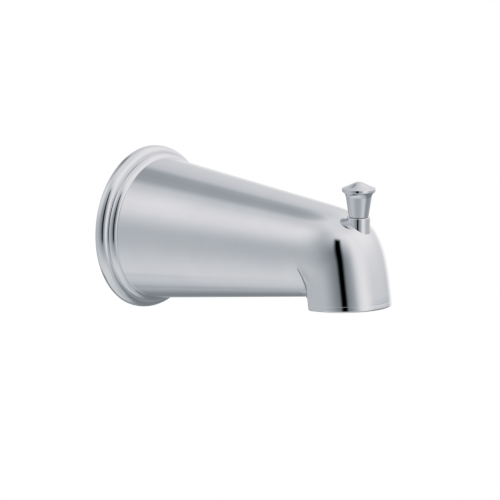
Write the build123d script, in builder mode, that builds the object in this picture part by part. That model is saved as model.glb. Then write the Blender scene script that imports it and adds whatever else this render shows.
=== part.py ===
"""Bath spout with a pull-up diverter, millimetres.

The origin is on the supply-pipe axis in the wall plane. The spout reaches out along -Y and +Z is up.
In the side view "out" is the distance from the wall and "up" the height above the pipe axis.
"""
import os
from math import cos, hypot, pi, radians, sin, tan

from build123d import *

# Outside form
reach = 140.0
flange_radius = 38.0
flange_depth = 5.35
flange_round = 4.05
flange_step = 3.2
bead_land = 0.8
bead_round = 3.6
bead_fall = 3.75
bead_step = 0.8
body_taper = 6.85
nose_radius = 19.4
nose_lean = 8.0
outlet_drop = 24.3
outlet_tilt = 2.6
outlet_chamfer = 0.8
crease_round = 1.2
crown_power = 4.7
crease_power = 8.0
width_blend = 1.5
oval_points = 16
elbow_steps = 7
wall = 2.5

# Fits, radial
thread_fit = 0.05
running_fit = 0.05
slide_gap = 0.2
overcut = 1.0

# Waterway
pipe_thread_radius = 9.3
bushing_radius = 13.2
bushing_thread_length = 15.0
bushing_hex = 28.0
bushing_head = 4.5
socket_setback = 10.5
socket_wall = 3.8
socket_length = 20.0
socket_taper = 8.0
waterway_radius = 8.0
waterway_wall = 3.0
rib_setback = 3.0
rib_thickness = 3.0
bulkhead_setback = 9.7
bulkhead_thickness = 3.0
port_radius = 5.5

# Diverter
rod_setback = 14.0
rod_radius = 1.75
lift = 11.5
seat_to_rod = 4.6
seat_thickness = 3.2
gate_half_width = 10.0
gate_half_height = 7.5
gate_thickness = 4.5
gate_neck = 0.5
gate_corner = 1.2
gate_hub_radius = 3.6
gate_hub_floor = 1.5
rod_grip = 3.6
washer_radius = 7.0
washer_thickness = 2.3
washer_recess = 1.5
rivet_radius = 1.3
rivet_head_radius = 2.6
rivet_head = 0.8
rivet_tail = 0.6
rivet_tail_radius = 2.1
rail_lip = 2.6
gland_radius = 5.2
gland_stand = 2.3
gland_length = 8.2
gland_chamfer = 0.4
boss_wall = 1.6
ring_section = 0.9
ring_floor = 1.4

# Knob
knob_base_radius = 4.5
knob_base_chamfer = 0.4
knob_neck_radius = 5.9
knob_neck_height = 9.0
knob_rim_radius = 7.7
knob_rim_height = 11.7
knob_rim_edge = 1.5
knob_height = 16.1
knob_bore = 10.0
knob_gap = 0.1

# Side-view outline of the body and the nose
bead_radius = flange_radius - flange_step
bead_start = flange_depth + bead_land
body_root_radius = bead_radius - bead_step
taper = tan(radians(body_taper))
lean = radians(nose_lean)
tilt = radians(outlet_tilt)
outlet_out = reach - nose_radius
heel_out = outlet_out - nose_radius * cos(tilt)
heel_up = -outlet_drop - nose_radius * sin(tilt)
drop_to_pivot = crease_round / cos(radians(body_taper))
pivot_out = (
    heel_out * cos(lean) + (body_root_radius + drop_to_pivot + heel_up) * sin(lean) - crease_round
) / (cos(lean) + taper * sin(lean))
pivot_up = taper * pivot_out - body_root_radius - drop_to_pivot
to_top_line = (body_root_radius - taper * pivot_out - pivot_up) * cos(radians(body_taper))
to_front_line = crease_round + 2 * nose_radius


def cone_radius(out):
    """Outside radius of the tapered body."""
    return body_root_radius - taper * out


def crown(angle, power):
    """Distance from the crease pivot to the outer outline: top and front lines, blended by a power."""
    to_top = to_top_line / cos(radians(angle - body_taper))
    to_front = to_front_line / cos(radians(angle - 90 + nose_lean))
    return (to_top**-power + to_front**-power) ** (-1 / power)


def crown_up(out):
    """Height of the rounded crown over a point of the side view, found by halving the elbow's angle."""
    low = 0.0
    high = 90 - nose_lean
    while high - low > 1e-9:
        angle = (low + high) / 2
        if pivot_out + crown(angle, crown_power) * sin(radians(angle)) < out:
            low = angle
        else:
            high = angle
    return pivot_up + crown(low, crown_power) * cos(radians(low))


# Places of the waterway and the diverter
rod_out = reach - rod_setback
bulkhead_out = pivot_out - bulkhead_setback
seat_out = rod_out - seat_to_rod
socket_radius = bushing_radius + socket_wall
socket_floor = socket_setback + bushing_thread_length
tube_radius = waterway_radius + waterway_wall
hole_fit = rod_radius + running_fit
ring_pocket = hole_fit + 2 * ring_section
gland_top = crown_up(rod_out) + gland_stand
gland_foot = gland_top - gland_length
ring_foot = gland_foot - 2 * ring_section
boss_foot = ring_foot - ring_floor
port_up = boss_foot - slide_gap - gate_neck - gate_half_height
gate_rest = port_up - lift
rail_top = port_up + gate_half_height
rail_foot = gate_rest - gate_half_height - slide_gap
knob_foot = gland_top + knob_gap
washer_face = seat_out + running_fit
gate_back = washer_face + washer_thickness - washer_recess
gate_head = gate_rest + gate_half_height + gate_neck
rod_foot = gate_rest + gate_half_height - rod_grip


def half_width(angle):
    """Half width of the elbow section: the cone's own section or the nose radius, the larger, blended."""
    far = pivot_out + to_top_line / cos(radians(angle - body_taper)) * sin(radians(angle))
    near = pivot_out + crease_round * sin(radians(angle))
    cone_half = max(cone_radius(near) * cone_radius(far), 0) ** 0.5
    return (cone_half + nose_radius + hypot(cone_half - nose_radius, width_blend)) / 2


def station(out, up, lean_angle):
    """Plane across the spout, its upward axis leaning out from the wall by an angle."""
    turn = radians(lean_angle)
    return Plane((0, -out, up), x_dir=(1, 0, 0), z_dir=(0, -cos(turn), -sin(turn)))


def side(out, up):
    """Side-view plane from a point: x runs out from the wall, y runs up."""
    return Plane((0, -out, up), x_dir=(0, -1, 0), z_dir=(-1, 0, 0))


def level(out, up):
    """Level plane over a point of the side view."""
    return Plane((0, -out, up), x_dir=(1, 0, 0), z_dir=(0, 0, 1))


def upright(out):
    """Plane parallel to the wall, stepped out from it."""
    return Plane.XZ.offset(out)


def cone_section(out):
    """Section of the tapered body: place, lean angle, half width, depth below and height above."""
    return (out, 0.0, 0.0, cone_radius(out), cone_radius(out), cone_radius(out))


def elbow_section(angle):
    """Section of the elbow on a plane turned about the crease pivot.

    The lower half follows the sharp mitre, so the crease stays crisp. The upper half is rounded over.
    """
    middle = (crown(angle, crease_power) + crease_round) / 2
    return (
        pivot_out + middle * sin(radians(angle)),
        pivot_up + middle * cos(radians(angle)),
        angle,
        half_width(angle),
        middle - crease_round,
        crown(angle, crown_power) - middle,
    )


def nose_section(below, inset=0.0):
    """Section of the nose, a distance below the outlet plane and set in from the outside."""
    depth = nose_radius / cos(lean - tilt) - inset
    return (
        outlet_out + below * sin(lean),
        -outlet_drop - below * cos(lean),
        90 - outlet_tilt,
        nose_radius - inset,
        depth,
        depth,
    )


def oval(across, below, above):
    """Points round a section, from its underside: an ellipse whose height passes from below to above."""
    points = []
    for step in range(oval_points):
        turn = 2 * pi * step / oval_points
        rise = (1 - cos(turn)) / 2
        share = rise * rise * (3 - 2 * rise)
        points.append((across * sin(turn), -cos(turn) * (below + (above - below) * share)))
    return points


elbow = [elbow_section((90 - nose_lean) * step / elbow_steps) for step in range(elbow_steps + 1)]
body_run = [cone_section(flange_depth), elbow[0]]
nose_run = [elbow[-1], nose_section(-outlet_chamfer)]
rim_run = [nose_section(-outlet_chamfer), nose_section(0, outlet_chamfer)]


with BuildPart() as outside:
    for run in (body_run, elbow, nose_run, rim_run):
        for out, up, angle, across, below, above in run:
            with BuildSketch(station(out, up, angle)):
                with BuildLine():
                    Spline(*oval(across, below, above), periodic=True)
                make_face()
        loft()
    with BuildSketch(side(0, 0)):
        with BuildLine():
            ring = EllipticalCenterArc(
                (flange_depth - flange_round, bead_radius), flange_round, flange_step, arc_size=90
            )
            bead = EllipticalCenterArc((bead_start, bead_radius - bead_fall), bead_round, bead_fall, arc_size=90)
            Polyline((bead_start + bead_round, bead_radius - bead_fall), (bead_start + bead_round, 0), (0, 0),
                     (0, flange_radius), (flange_depth - flange_round, flange_radius))
            Line(ring @ 0, bead @ 1)
        make_face()
    revolve(axis=Axis.Y)

with BuildPart() as inside:
    for run in ([cone_section(-flange_depth), elbow[0]], elbow, [elbow[-1], nose_section(wall)]):
        for out, up, angle, across, below, above in run:
            with BuildSketch(station(out, up, angle)):
                with BuildLine():
                    Spline(*oval(across - wall, below - wall, above - wall), periodic=True)
                make_face()
        loft()

half = wall / 2
with BuildPart() as mid_wall:
    for run in ([cone_section(0), elbow[0]], elbow, [elbow[-1], nose_section(wall)]):
        for out, up, angle, across, below, above in run:
            with BuildSketch(station(out, up, angle)):
                with BuildLine():
                    Spline(*oval(across - half, below - half, above - half), periodic=True)
                make_face()
        loft()

with BuildPart() as shell:
    add(outside.part)
    add(inside.part, mode=Mode.SUBTRACT)

with BuildPart() as spout_body:
    # Waterway tube with its threaded socket
    with BuildSketch(side(0, 0)):
        with BuildLine():
            Polyline(
                (socket_setback, 0),
                (socket_setback, socket_radius),
                (socket_setback + socket_length, socket_radius),
                (socket_setback + socket_length + socket_taper, tube_radius),
                (seat_out, tube_radius),
                (seat_out, 0),
                close=True,
            )
        make_face()
    revolve(axis=Axis.Y)
    # Four ribs and the bulkhead carry the tube
    with BuildSketch(upright(socket_setback + rib_setback)):
        Rectangle(2 * flange_radius, rib_thickness, rotation=45)
        Rectangle(2 * flange_radius, rib_thickness, rotation=-45)
    extrude(amount=bulkhead_out - socket_setback - rib_setback + overcut)
    with BuildSketch(upright(bulkhead_out)):
        Circle(flange_radius)
    extrude(amount=bulkhead_thickness)
    # Valve seat plate across the nose
    with BuildSketch(upright(seat_out - seat_thickness)):
        with Locations((0, rail_foot)):
            Rectangle(2 * flange_radius, flange_radius - rail_foot, align=(Align.CENTER, Align.MIN))
    extrude(amount=seat_thickness)
    # Rails that hold the gate against the seat
    with BuildSketch(upright(seat_out)):
        with Locations((0, rail_foot)):
            Rectangle(2 * nose_radius, rail_top - rail_foot, align=(Align.CENTER, Align.MIN))
    extrude(amount=seat_to_rod + rod_radius + rail_lip)
    with BuildSketch(upright(seat_out)):
        with Locations((0, rail_foot - overcut)):
            Rectangle(
                2 * (gate_half_width + slide_gap),
                flange_radius,
                align=(Align.CENTER, Align.MIN),
            )
    extrude(amount=gate_thickness + washer_thickness - washer_recess + 2 * slide_gap, mode=Mode.SUBTRACT)
    with BuildSketch(upright(seat_out)):
        with Locations((0, rail_foot - overcut)):
            Rectangle(2 * washer_radius, flange_radius, align=(Align.CENTER, Align.MIN))
    extrude(amount=reach, mode=Mode.SUBTRACT)
    # Boss round the lift rod
    with BuildSketch(level(rod_out, boss_foot)):
        Circle(gland_radius + boss_wall)
    extrude(amount=flange_radius)
    add(mid_wall.part, mode=Mode.INTERSECT)
    add(shell.part)
    # Socket for the bushing, waterway and valve port
    with BuildSketch(upright(socket_setback)):
        Circle(bushing_radius + thread_fit)
    extrude(amount=bushing_thread_length, mode=Mode.SUBTRACT)
    with BuildSketch(upright(socket_floor)):
        Circle(waterway_radius)
    extrude(amount=seat_out - 2 * seat_thickness - socket_floor, mode=Mode.SUBTRACT)
    with BuildSketch(upright(seat_out - 3 * seat_thickness)):
        with Locations((0, port_up)):
            Circle(port_radius)
    extrude(amount=4 * seat_thickness, mode=Mode.SUBTRACT)
    # Stem hole, ring pocket and gland pocket, drilled down through the nose
    with BuildSketch(level(rod_out, boss_foot - overcut)):
        Circle(rod_radius + slide_gap)
    extrude(amount=flange_radius, mode=Mode.SUBTRACT)
    with BuildSketch(level(rod_out, ring_foot)):
        Circle(ring_pocket + thread_fit)
    extrude(amount=flange_radius, mode=Mode.SUBTRACT)
    with BuildSketch(level(rod_out, gland_foot)):
        Circle(gland_radius + thread_fit)
    extrude(amount=flange_radius, mode=Mode.SUBTRACT)
spout_body.part.label = "spout_body"

with BuildPart() as inlet_bushing:
    with BuildSketch(upright(socket_setback - bushing_head)):
        RegularPolygon(bushing_hex / 2, 6, major_radius=False)
    extrude(amount=bushing_head)
    with BuildSketch(upright(socket_setback)):
        Circle(bushing_radius)
    extrude(amount=bushing_thread_length)
    with BuildSketch(upright(socket_setback - bushing_head)):
        Circle(pipe_thread_radius)
    extrude(amount=bushing_head + bushing_thread_length, mode=Mode.SUBTRACT)
inlet_bushing.part.label = "inlet_bushing"

with BuildPart() as stem_gland:
    with BuildSketch(level(rod_out, gland_foot)):
        Circle(gland_radius)
        Circle(hole_fit, mode=Mode.SUBTRACT)
    extrude(amount=gland_length)
    top_rim = stem_gland.faces().sort_by(Axis.Z)[-1].outer_wire().edges()
    chamfer(top_rim, gland_chamfer)
stem_gland.part.label = "stem_gland"

with BuildPart() as stem_o_ring:
    with BuildSketch(side(rod_out, ring_foot + ring_section)):
        with Locations((hole_fit + ring_section, 0)):
            Circle(ring_section)
    revolve(axis=Axis((0, -rod_out, 0), (0, 0, 1)))
stem_o_ring.part.label = "stem_o_ring"

with BuildPart() as gate:
    with BuildSketch(upright(gate_back)):
        with Locations((0, gate_rest)):
            RectangleRounded(2 * gate_half_width, 2 * gate_half_height, gate_corner)
    extrude(amount=gate_thickness)
    with BuildSketch(level(rod_out, rod_foot - gate_hub_floor)):
        Circle(gate_hub_radius)
        with Locations((0, rod_out - gate_back + flange_radius)):
            Rectangle(2 * flange_radius, 2 * flange_radius, mode=Mode.SUBTRACT)
    extrude(amount=gate_head - rod_foot + gate_hub_floor)
    with BuildSketch(upright(gate_back)):
        with Locations((0, gate_rest)):
            Circle(washer_radius + thread_fit)
    extrude(amount=washer_recess, mode=Mode.SUBTRACT)
    with BuildSketch(upright(gate_back)):
        with Locations((0, gate_rest)):
            Circle(rivet_radius + thread_fit)
    extrude(amount=gate_thickness, mode=Mode.SUBTRACT)
    with BuildSketch(level(rod_out, rod_foot)):
        Circle(rod_radius + thread_fit)
    extrude(amount=2 * rod_grip, mode=Mode.SUBTRACT)
gate.part.label = "gate"

with BuildPart() as gate_washer:
    with BuildSketch(upright(washer_face)):
        with Locations((0, gate_rest)):
            Circle(washer_radius)
            Circle(rivet_radius + thread_fit, mode=Mode.SUBTRACT)
    extrude(amount=washer_thickness)
    with BuildSketch(upright(washer_face)):
        with Locations((0, gate_rest)):
            Circle(rivet_head_radius + thread_fit)
    extrude(amount=rivet_head + slide_gap, mode=Mode.SUBTRACT)
gate_washer.part.label = "gate_washer"

with BuildPart() as washer_rivet:
    with BuildSketch(upright(washer_face + slide_gap)):
        with Locations((0, gate_rest)):
            Circle(rivet_head_radius)
    extrude(amount=rivet_head)
    with BuildSketch(upright(washer_face + slide_gap)):
        with Locations((0, gate_rest)):
            Circle(rivet_radius)
    extrude(amount=gate_back + gate_thickness - washer_face - slide_gap + rivet_tail)
    with BuildSketch(upright(gate_back + gate_thickness)):
        with Locations((0, gate_rest)):
            Circle(rivet_tail_radius)
    extrude(amount=rivet_tail)
washer_rivet.part.label = "washer_rivet"

with BuildPart() as lift_rod:
    with BuildSketch(level(rod_out, rod_foot)):
        Circle(rod_radius)
    extrude(amount=knob_foot + knob_bore - rod_foot)
lift_rod.part.label = "lift_rod"

with BuildPart() as knob:
    with BuildSketch(side(rod_out, knob_foot)):
        with BuildLine():
            Polyline(
                (0, knob_height),
                (0, knob_bore),
                (rod_radius + thread_fit, knob_bore),
                (rod_radius + thread_fit, 0),
                (knob_base_radius - knob_base_chamfer, 0),
                (knob_base_radius, knob_base_chamfer),
                (knob_neck_radius, knob_neck_height),
            )
            Spline(
                (knob_neck_radius, knob_neck_height),
                (knob_rim_radius, knob_rim_height),
                tangents=((knob_neck_radius - knob_base_radius, knob_neck_height), (1, 0.25)),
            )
            Line((knob_rim_radius, knob_rim_height), (knob_rim_radius, knob_rim_height + knob_rim_edge))
            Spline(
                (knob_rim_radius, knob_rim_height + knob_rim_edge),
                (0.5 * knob_rim_radius, 0.55 * knob_height + 0.45 * (knob_rim_height + knob_rim_edge)),
                (0, knob_height),
                tangents=((-1, 0.3), (-1, 0)),
            )
        make_face()
    revolve(axis=Axis((0, -rod_out, 0), (0, 0, 1)))
knob.part.label = "knob"

os.makedirs("parts", exist_ok=True)
export_step(spout_body.part, "parts/spout_body.step")
export_step(inlet_bushing.part, "parts/inlet_bushing.step")
export_step(stem_gland.part, "parts/stem_gland.step")
export_step(stem_o_ring.part, "parts/stem_o_ring.step")
export_step(gate.part, "parts/gate.step")
export_step(gate_washer.part, "parts/gate_washer.step")
export_step(washer_rivet.part, "parts/washer_rivet.step")
export_step(lift_rod.part, "parts/lift_rod.step")
export_step(knob.part, "parts/knob.step")
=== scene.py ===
"""Bath spout with a pull-up diverter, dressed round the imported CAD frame.

Sizes are in millimetres and meshes in metres. In the side view "out" is the distance from the wall (-Y),
"up" the height above the supply-pipe axis (+Z), and "across" the sideways distance (+X).
"""
import logging
from dataclasses import dataclass
from enum import Enum

import bmesh
import bpy
import numpy as np
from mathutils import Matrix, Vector


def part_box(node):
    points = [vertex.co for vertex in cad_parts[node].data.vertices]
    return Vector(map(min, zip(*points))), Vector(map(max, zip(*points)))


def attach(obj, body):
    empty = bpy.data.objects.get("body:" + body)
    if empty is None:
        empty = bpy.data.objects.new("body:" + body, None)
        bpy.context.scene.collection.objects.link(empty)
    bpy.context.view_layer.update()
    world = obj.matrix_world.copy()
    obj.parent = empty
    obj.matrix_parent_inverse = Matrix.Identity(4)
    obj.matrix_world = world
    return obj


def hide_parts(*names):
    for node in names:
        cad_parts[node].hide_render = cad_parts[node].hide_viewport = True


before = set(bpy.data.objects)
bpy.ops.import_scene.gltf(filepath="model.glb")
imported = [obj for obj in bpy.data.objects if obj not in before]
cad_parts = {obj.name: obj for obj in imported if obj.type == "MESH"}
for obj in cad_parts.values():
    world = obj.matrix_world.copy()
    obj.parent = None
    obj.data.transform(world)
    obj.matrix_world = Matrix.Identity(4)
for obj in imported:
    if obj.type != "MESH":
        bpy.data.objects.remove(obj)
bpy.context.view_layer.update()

log = logging.getLogger("bath_spout")
MM = 0.001
QUARTER = np.pi / 2
RIGHT_ANGLE = 90.0
# Places of the lean and of the half width in the spout's table of sections.
LEAN, ACROSS = 2, 3
SHARP_ANGLE = np.radians(32)
# Points nearer than this become one, in metres.
MERGE = 2e-7
# How far a helper solid runs past the face that it cuts or joins, so that no two faces share a plane.
OVERRUN = 1.0
# Distance of a support point from a rounded corner, and the share of a short flat that it may take.
SUPPORT = 0.12
SUPPORT_SHARE = 0.2
# Points along the rounded edge of a slab.
EDGE_STEPS = 6
# Input numbers of a Mix node: its factor, two values and two colours.
FACTOR, VALUE_A, VALUE_B, COLOUR_A, COLOUR_B = 0, 2, 3, 6, 7
# Output number of the colour that a Mix node gives.
MIXED_COLOUR = 2
# Span that holds most values of a noise texture, and how many finer layers the two noises have.
NOISE_LOW, NOISE_HIGH = 0.3, 0.7
MOTTLE_DETAIL, GRAIN_DETAIL = 3.0, 2.0
WHITE = (1.0, 1.0, 1.0, 1.0)
# A value or an array of values, and a place or three sizes in millimetres.
Number = float | np.ndarray
Triple = tuple[float, float, float]


class Body(Enum):
    """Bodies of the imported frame."""

    SPOUT = "spout"
    DIVERTER = "diverter"


class Slot(Enum):
    """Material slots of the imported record."""

    CHROME = "chrome_plate"
    BRASS = "brass"
    STEEL = "stainless_steel"
    ACETAL = "acetal"
    RUBBER = "nitrile_rubber"


class Way(Enum):
    """Direction in which a piece is turned or extruded, followed by its two cross directions."""

    OUT = ((0, -1, 0), (1, 0, 0), (0, 0, 1))
    UP = ((0, 0, 1), (1, 0, 0), (0, -1, 0))


class Cut(Enum):
    """How one closed mesh acts on another."""

    JOIN = "UNION"
    KEEP = "INTERSECT"
    TAKE = "DIFFERENCE"


# Measures and curves


def box_mm(node: str) -> tuple[np.ndarray, np.ndarray]:
    """Lowest and highest corner of a CAD node at rest, in millimetres."""
    low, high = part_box(node)
    return np.array(low) / MM, np.array(high) / MM


def outs(node: str) -> tuple[float, float]:
    """Nearest and farthest distance of a CAD node from the wall, at rest."""
    low, high = box_mm(node)
    return -high[1], -low[1]


def heights(node: str) -> tuple[float, float]:
    """Lowest and highest point of a CAD node at rest."""
    low, high = box_mm(node)
    return low[2], high[2]


def smooth(value: Number, low: Number = 0.0, high: Number = 1.0) -> Number:
    """Smooth step from 0 at low to 1 at high: 3 s**2 - 2 s**3 of the share s of the way."""
    share = np.clip((value - low) / (high - low), 0, 1)
    return share * share * (3 - 2 * share)


def from_lowest(turn: np.ndarray) -> np.ndarray:
    """Angle of a turn from a section's lowest point, to either side, in degrees."""
    return np.degrees(np.minimum(turn, 2 * np.pi - turn))


def rounded(corners: list[Triple], closed: bool = True, steps: int = 9) -> np.ndarray:
    """Rounds the corners of an outline by exact arcs.

    An arc is the rational quadratic curve between the points at radius * tan(turn / 2) before and after
    its corner, weighted by cos(turn / 2). A support point beside each end of the arc keeps the flats flat.

    Args:
        corners: (a, b, radius) of each corner, in order.
        closed: whether the outline runs back to its start.
        steps: points along each arc.

    Returns:
        Points of the outline, one a row.
    """
    table = np.array(corners, float)
    point, radius = table[:, :2], table[:, 2:]
    before = point - np.roll(point, 1, axis=0)
    length = np.linalg.norm(before, axis=1, keepdims=True)
    before = before / length
    after = np.roll(before, -1, axis=0)
    turn = np.arccos(np.clip((before * after).sum(axis=1, keepdims=True), -1, 1))
    reach = radius * np.tan(turn / 2)
    room = length - reach - np.roll(reach, 1, axis=0)
    support = np.minimum(SUPPORT_SHARE * room, SUPPORT)
    start, end = point - before * reach, point + after * reach
    weight = np.cos(turn / 2)[:, None]
    t = np.linspace(0, 1, steps)[None, :, None]
    share = np.concatenate([(1 - t) ** 2 + 0 * weight, 2 * t * (1 - t) * weight, t**2 + 0 * weight], axis=2)
    arc = share @ np.stack([start, point, end], axis=1) / share.sum(axis=2, keepdims=True)
    lead = (start - before * support)[:, None]
    tail = (end + after * np.roll(support, -1, axis=0))[:, None]
    path = np.concatenate([lead, arc, tail], axis=1).reshape(-1, 2)
    return path if closed else path[steps:-steps]


# Meshes


def mesh_of(name: str, points: np.ndarray, closed_rows: bool = False, inner_rows: int = 0) -> bpy.types.Mesh:
    """Makes a mesh from a grid of points whose columns run back to the start.

    Equal points, as at a pole, become one, and the faces are turned outwards.

    Args:
        name: the mesh's name.
        points: rows by columns by three, millimetres.
        closed_rows: whether the rows run back to the start too.
        inner_rows: how many of the last rows take the second material.

    Returns:
        The mesh, shaded smooth with its hard edges marked.
    """
    rows, columns = points.shape[:2]
    here = np.arange(rows if closed_rows else rows - 1)[:, None]
    side = np.arange(columns)[None]
    ahead, beside = (here + 1) % rows, (side + 1) % columns
    quads = np.stack(np.broadcast_arrays(
        here * columns + side, here * columns + beside, ahead * columns + beside, ahead * columns + side
    ), axis=-1).reshape(-1, 4)
    mesh = bpy.data.meshes.new(name)
    mesh.vertices.add(rows * columns)
    mesh.vertices.foreach_set("co", (points * MM).astype(np.float32).ravel())
    mesh.loops.add(quads.size)
    mesh.loops.foreach_set("vertex_index", quads.astype(np.int32).ravel())
    mesh.polygons.add(len(quads))
    mesh.polygons.foreach_set("loop_start", np.arange(0, quads.size, 4, dtype=np.int32))
    second = np.repeat(here.ravel() >= rows - inner_rows, columns) if inner_rows else np.zeros(len(quads))
    mesh.polygons.foreach_set("material_index", second.astype(np.int32))
    mesh.update(calc_edges=True)
    shape = bmesh.new()
    shape.from_mesh(mesh)
    bmesh.ops.remove_doubles(shape, verts=shape.verts, dist=MERGE)
    bmesh.ops.recalc_face_normals(shape, faces=shape.faces)
    shape.to_mesh(mesh)
    shape.free()
    return shaded(mesh)


def shaded(mesh: bpy.types.Mesh) -> bpy.types.Mesh:
    """Shades a mesh smooth, with edges past the sharp angle kept hard, and gives it back."""
    mesh.shade_smooth()
    mesh.set_sharp_from_angle(angle=SHARP_ANGLE)
    return mesh


def turned(name: str, profile: np.ndarray, way: Way, origin: Triple, columns: int = 96,
           closed: bool = False) -> bpy.types.Mesh:
    """Revolves a profile: origin + height * axis + radius * (cos a, sin a) on the cross directions.

    Args:
        name: the mesh's name.
        profile: (radius, height) rows.
        way: direction of the axis.
        origin: a point of the axis, from which heights are measured.
        columns: points round the axis.
        closed: whether the profile runs back to its start.

    Returns:
        The mesh.
    """
    axis, first, second = np.array(way.value, float)
    turn = np.linspace(0, 2 * np.pi, columns, endpoint=False)
    circle = np.cos(turn)[:, None] * first + np.sin(turn)[:, None] * second
    radius, height = profile[:, 0, None, None], profile[:, 1, None, None]
    points = np.array(origin, float) + radius * circle[None] + height * axis
    return mesh_of(name, points, closed_rows=closed)


def slab(half_a: float, half_b: float, low: float, high: float, way: Way, origin: Triple,
         corner: float = 0.0, edge: float = 0.0) -> np.ndarray:
    """Carries a rounded rectangle along an axis, drawn in along a quarter circle at both ends.

    Args:
        half_a: half size on the first cross direction.
        half_b: half size on the second cross direction.
        low: where it starts on the axis.
        high: where it ends on the axis.
        way: direction of the axis.
        origin: a point of the axis, from which low and high are measured.
        corner: radius of the rectangle's corners.
        edge: radius of the edges round both ends.

    Returns:
        Grid of points, length by outline, closed to a point at both ends.
    """
    axis, first, second = np.array(way.value, float)
    quarter = np.linspace(0, QUARTER, EDGE_STEPS)
    inset = edge * np.concatenate([1 - np.sin(quarter), 1 - np.cos(quarter)])
    height = np.concatenate([low + edge * (1 - np.cos(quarter)), high - edge * (1 - np.sin(quarter))])
    signs = ((-1, -1), (1, -1), (1, 1), (-1, 1))
    rings = [
        rounded([(a * (half_a - i), b * (half_b - i), max(corner - i, 0)) for a, b in signs]) for i in inset
    ]
    ring = np.stack([0 * rings[0], *rings, 0 * rings[-1]])
    height = np.concatenate([[low], height, [high]])[:, None, None]
    return np.array(origin, float) + ring[..., :1] * first + ring[..., 1:] * second + height * axis


def linked(name: str, data: bpy.types.ID) -> bpy.types.Object:
    """Makes an object and links it into the scene.

    Args:
        name: the object's name.
        data: its mesh or camera.

    Returns:
        The new object.
    """
    made = bpy.data.objects.new(name, data)
    bpy.context.scene.collection.objects.link(made)
    return made


def combined(base: bpy.types.Mesh, steps: list[tuple[Cut, bpy.types.Mesh]]) -> bpy.types.Mesh:
    """Joins closed meshes to a base mesh, keeps what they share, or takes them away, in order.

    Args:
        base: closed mesh to start from.
        steps: how each further mesh acts, with that mesh.

    Returns:
        A new mesh, shaded as the others are.
    """
    host = linked("combined", base)
    helpers = [host]
    for how, mesh in steps:
        helpers.append(linked("helper", mesh))
        step = host.modifiers.new(how.name, "BOOLEAN")
        step.operation, step.solver, step.object = how.value, "MANIFOLD", helpers[-1]
    bpy.context.view_layer.update()
    made = bpy.data.meshes.new_from_object(host.evaluated_get(bpy.context.evaluated_depsgraph_get()))
    for helper in helpers:
        bpy.data.objects.remove(helper)
    return shaded(made)


def piece(name: str, mesh: bpy.types.Mesh, body: Body, slot: Slot, node: str, *finishes: "Finish") -> None:
    """Makes a piece of the object that stands for a CAD node.

    Args:
        name: the piece's name.
        mesh: its mesh, already in place.
        body: body that it rides on.
        slot: record slot of its main finish; not used.
        node: CAD node that it replaces.
        finishes: finishes by material index.
    """
    made = linked(name, mesh)
    mesh.materials.clear()
    for finish in finishes:
        mesh.materials.append(finish.material())
    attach(made, body.value)
    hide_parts(node)
    log.info("%s: %d faces", name, len(mesh.polygons))


# Finishes


def linear(code: str) -> tuple[float, ...]:
    """Turns an sRGB hex colour into linear light by the standard's two-part curve.

    Args:
        code: colour as #RRGGBB.

    Returns:
        Linear red, green, blue and a full alpha.
    """
    srgb = np.array([int(code[i:i + 2], 16) for i in (1, 3, 5)]) / 255
    rgb = np.where(srgb <= 0.04045, srgb / 12.92, ((srgb + 0.055) / 1.055) ** 2.4)
    return (*rgb.tolist(), 1.0)


def add(tree: bpy.types.NodeTree, kind: str, inputs: dict | None = None,
        **settings: object) -> bpy.types.Node:
    """Adds a shader node.

    Args:
        tree: node tree that it goes into.
        kind: Blender's name of the node type.
        inputs: value, or output socket to link, by input name or number.
        settings: properties of the node.

    Returns:
        The new node.
    """
    node = tree.nodes.new(kind)
    for key, value in settings.items():
        setattr(node, key, value)
    for key, value in (inputs or {}).items():
        if isinstance(value, bpy.types.NodeSocket):
            tree.links.new(value, node.inputs[key])
        else:
            node.inputs[key].default_value = value
    return node


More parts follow.
